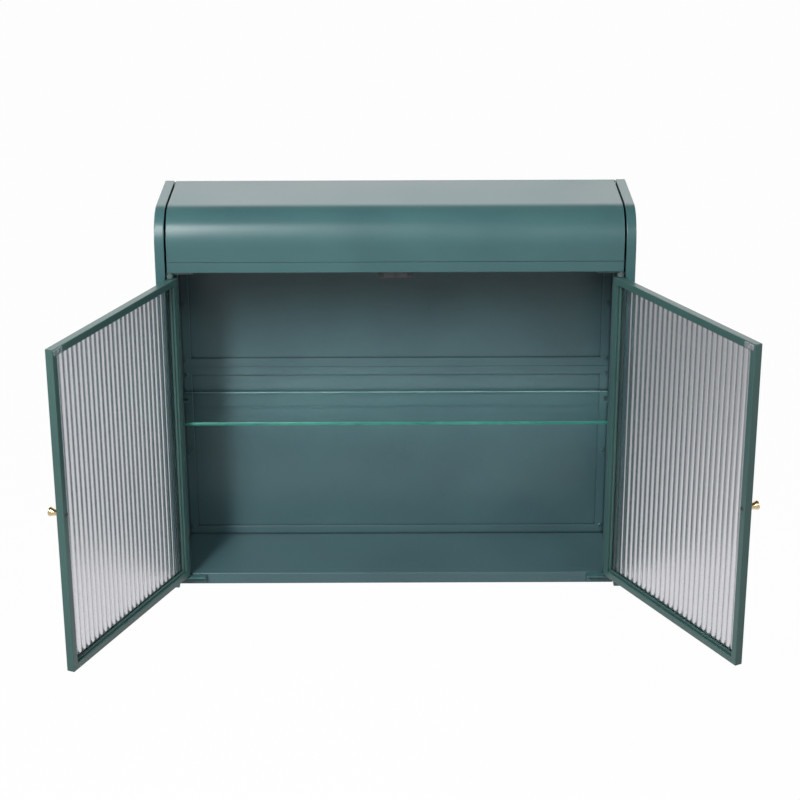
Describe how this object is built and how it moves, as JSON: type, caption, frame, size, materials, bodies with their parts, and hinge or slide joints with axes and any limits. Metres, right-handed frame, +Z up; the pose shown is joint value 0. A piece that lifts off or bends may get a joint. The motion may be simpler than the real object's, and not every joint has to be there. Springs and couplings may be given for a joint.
{
  "type": "medicine cabinet",
  "caption": "Wall-hung sheet-steel medicine cabinet with a rounded top, a glass shelf and a pair of framed fluted-glass doors on corner pivots.",
  "frame": {"origin": "midway between the two wall bolts, on the plane of the wall", "axes": "+X to the right as seen from the front, +Y from the front towards the wall, +Z up"},
  "size_m": [0.9798, 0.4797, 0.6],
  "materials": {
    "cabinet_paint": "satin powder coat",
    "door_paint": "satin powder coat",
    "rear_steel": "powder coat",
    "fluted_glass": "reeded, clear",
    "shelf_glass": "polished float glass, green edge",
    "brass": "polished",
    "bright_steel": "zinc plated",
    "grey_nylon": "moulded",
    "clear_sleeve": "soft silicone"
  },
  "bodies": {
    "cabinet": {"back_panel_screws": "bright_steel", "catch_body": "grey_nylon", "catch_magnets": "bright_steel", "catch_screws": "bright_steel", "ceiling_pan": "cabinet_paint", "floor_pan": "cabinet_paint", "glass_shelf": "shelf_glass", "hanging_rail": "rear_steel", "hinge_screws": "bright_steel", "left_door_stop": "cabinet_paint", "left_lower_hinge_bracket": "cabinet_paint", "left_rear_angle": "rear_steel", "left_side_liner": "cabinet_paint", "left_side_panel": "cabinet_paint", "left_upper_hinge_plate": "cabinet_paint", "lower_back_panel": "cabinet_paint", "lower_hinge_bushes": "grey_nylon", "pan_screws": "bright_steel", "rail_screws": "bright_steel", "right_door_stop": "cabinet_paint", "right_lower_hinge_bracket": "cabinet_paint", "right_rear_angle": "rear_steel", "right_side_liner": "cabinet_paint", "right_side_panel": "cabinet_paint", "right_upper_hinge_plate": "cabinet_paint", "shelf_pegs": "bright_steel", "shelf_sleeves": "clear_sleeve", "top_cover": "cabinet_paint", "upper_back_panel": "cabinet_paint", "upper_hinge_bushes": "grey_nylon"},
    "left_door": {"left_door_bottom_bead": "door_paint", "left_door_bottom_pin": "bright_steel", "left_door_bottom_rail": "door_paint", "left_door_free_bead": "door_paint", "left_door_free_stile": "door_paint", "left_door_glass": "fluted_glass", "left_door_hinge_bead": "door_paint", "left_door_hinge_stile": "door_paint", "left_door_knob": "brass", "left_door_knob_screw": "bright_steel", "left_door_strike_plate": "bright_steel", "left_door_strike_screw": "bright_steel", "left_door_top_bead": "door_paint", "left_door_top_pin": "bright_steel", "left_door_top_rail": "door_paint"},
    "right_door": {"right_door_bottom_bead": "door_paint", "right_door_bottom_pin": "bright_steel", "right_door_bottom_rail": "door_paint", "right_door_free_bead": "door_paint", "right_door_free_stile": "door_paint", "right_door_glass": "fluted_glass", "right_door_hinge_bead": "door_paint", "right_door_hinge_stile": "door_paint", "right_door_knob": "brass", "right_door_knob_screw": "bright_steel", "right_door_strike_plate": "bright_steel", "right_door_strike_screw": "bright_steel", "right_door_top_bead": "door_paint", "right_door_top_pin": "bright_steel", "right_door_top_rail": "door_paint"}
  },
  "joints": [
    {"name": "left_door_swing", "type": "hinge", "parent": "cabinet", "child": "left_door", "pos_m": [-0.329, -0.1768, 0], "axis": [0, 0, -1], "range_deg": [-114, 8]},
    {"name": "right_door_swing", "type": "hinge", "parent": "cabinet", "child": "right_door", "pos_m": [0.329, -0.1768, 0], "axis": [0, 0, 1], "range_deg": [-118.7, 3.3]}
  ]
}
